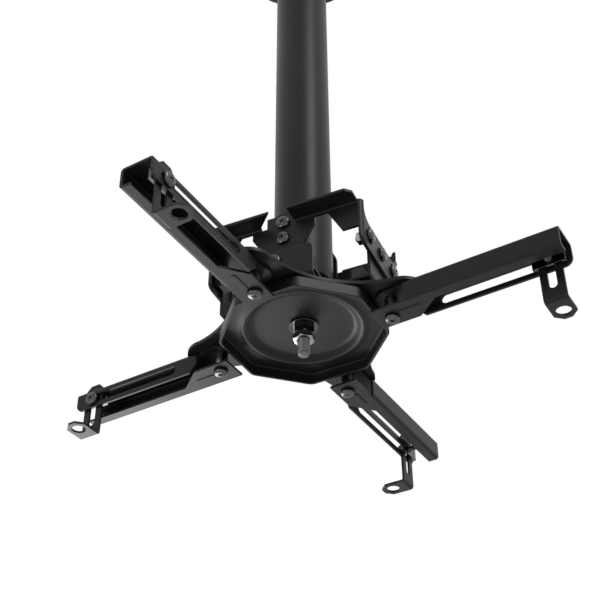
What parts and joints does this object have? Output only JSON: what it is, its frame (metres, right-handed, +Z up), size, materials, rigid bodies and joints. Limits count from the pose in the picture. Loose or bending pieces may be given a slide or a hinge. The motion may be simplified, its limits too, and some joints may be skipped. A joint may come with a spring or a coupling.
{
  "type": "projector ceiling mount",
  "caption": "Ceiling mount for a projector: a plate and round column carry a yoke that tilts, rolls and turns a hub with swinging, slotted arms and height-adjustable feet.",
  "frame": {"origin": "centre of the ceiling plate's top face", "axes": "+Z up into the ceiling; X along the tilt axis; Y along the roll axis"},
  "size_m": [0.4444, 0.4444, 0.548],
  "materials": {
    "black_paint": "satin powder coat",
    "plated_steel": "bright plated"
  },
  "bodies": {
    "root": {"ceiling_plate": "black_paint", "column": "black_paint", "column_bolt": "plated_steel", "column_nut": "plated_steel", "column_bracket_front": "black_paint", "column_bracket_rear": "black_paint", "yoke": "black_paint", "yoke_screws": "plated_steel", "yoke_nuts": "plated_steel"},
    "cradle": {"cradle": "black_paint", "tilt_pivot_screws": "plated_steel", "tilt_pivot_nuts": "plated_steel", "tilt_lock_screws": "plated_steel", "tilt_lock_nuts": "plated_steel", "roll_screws": "plated_steel", "roll_nuts": "plated_steel"},
    "hub_bracket": {"hub_bracket": "black_paint", "centre_bolt": "plated_steel", "centre_washer": "plated_steel", "centre_nut": "plated_steel", "centre_lock_nut": "plated_steel"},
    "hub": {"spider_plate": "black_paint", "hub_pan": "black_paint", "pivot_bolt_right": "plated_steel", "pivot_spacer_right": "plated_steel", "pivot_nut_right": "plated_steel", "pivot_bolt_rear": "plated_steel", "pivot_spacer_rear": "plated_steel", "pivot_nut_rear": "plated_steel", "pivot_bolt_left": "plated_steel", "pivot_spacer_left": "plated_steel", "pivot_nut_left": "plated_steel", "pivot_bolt_front": "plated_steel", "pivot_spacer_front": "plated_steel", "pivot_nut_front": "plated_steel"},
    "arm_right": {"arm_right": "black_paint"},
    "carriage_right": {"foot_screw_right": "plated_steel", "foot_nut_plate_right": "plated_steel"},
    "foot_right": {"foot_right": "black_paint"},
    "arm_rear": {"arm_rear": "black_paint"},
    "carriage_rear": {"foot_screw_rear": "plated_steel", "foot_nut_plate_rear": "plated_steel"},
    "foot_rear": {"foot_rear": "black_paint"},
    "arm_left": {"arm_left": "black_paint"},
    "carriage_left": {"foot_screw_left": "plated_steel", "foot_nut_plate_left": "plated_steel"},
    "foot_left": {"foot_left": "black_paint"},
    "arm_front": {"arm_front": "black_paint"},
    "carriage_front": {"foot_screw_front": "plated_steel", "foot_nut_plate_front": "plated_steel"},
    "foot_front": {"foot_front": "black_paint"}
  },
  "joints": [
    {"name": "cradle_tilt", "type": "hinge", "parent": "root", "child": "cradle", "pos_m": [0, 0, -0.45], "axis": [1, 0, 0], "range_deg": [-12, 12]},
    {"name": "hub_roll", "type": "hinge", "parent": "cradle", "child": "hub_bracket", "pos_m": [0, 0, -0.476], "axis": [0, 1, 0], "range_deg": [-8, 8]},
    {"name": "hub_turn", "type": "hinge", "parent": "hub_bracket", "child": "hub", "pos_m": [0, 0, -0.5], "axis": [0, 0, 1], "continuous": true},
    {"name": "arm_right_swing", "type": "hinge", "parent": "hub", "child": "arm_right", "pos_m": [0.07781, -0.00544, -0.51], "axis": [0, 0, 1], "range_deg": [-30, 30]},
    {"name": "foot_right_reach", "type": "slide", "parent": "arm_right", "child": "carriage_right", "axis": [0.9932, -0.1167, 0], "range_m": [-0.084, 0.0015]},
    {"name": "foot_right_height", "type": "slide", "parent": "carriage_right", "child": "foot_right", "axis": [0, 0, 1], "range_m": [-0.0012, 0.022]},
    {"name": "arm_rear_swing", "type": "hinge", "parent": "hub", "child": "arm_rear", "pos_m": [0.00544, 0.07781, -0.51], "axis": [0, 0, 1], "range_deg": [-30, 30]},
    {"name": "foot_rear_reach", "type": "slide", "parent": "arm_rear", "child": "carriage_rear", "axis": [0.1167, 0.9932, 0], "range_m": [-0.084, 0.0015]},
    {"name": "foot_rear_height", "type": "slide", "parent": "carriage_rear", "child": "foot_rear", "axis": [0, 0, 1], "range_m": [-0.0012, 0.022]},
    {"name": "arm_left_swing", "type": "hinge", "parent": "hub", "child": "arm_left", "pos_m": [-0.07781, 0.00544, -0.51], "axis": [0, 0, 1], "range_deg": [-30, 30]},
    {"name": "foot_left_reach", "type": "slide", "parent": "arm_left", "child": "carriage_left", "axis": [-0.9932, 0.1167, 0], "range_m": [-0.084, 0.0015]},
    {"name": "foot_left_height", "type": "slide", "parent": "carriage_left", "child": "foot_left", "axis": [0, 0, 1], "range_m": [-0.0012, 0.022]},
    {"name": "arm_front_swing", "type": "hinge", "parent": "hub", "child": "arm_front", "pos_m": [-0.00544, -0.07781, -0.51], "axis": [0, 0, 1], "range_deg": [-30, 30]},
    {"name": "foot_front_reach", "type": "slide", "parent": "arm_front", "child": "carriage_front", "axis": [-0.1167, -0.9932, 0], "range_m": [-0.084, 0.0015]},
    {"name": "foot_front_height", "type": "slide", "parent": "carriage_front", "child": "foot_front", "axis": [0, 0, 1], "range_m": [-0.0012, 0.022]}
  ]
}
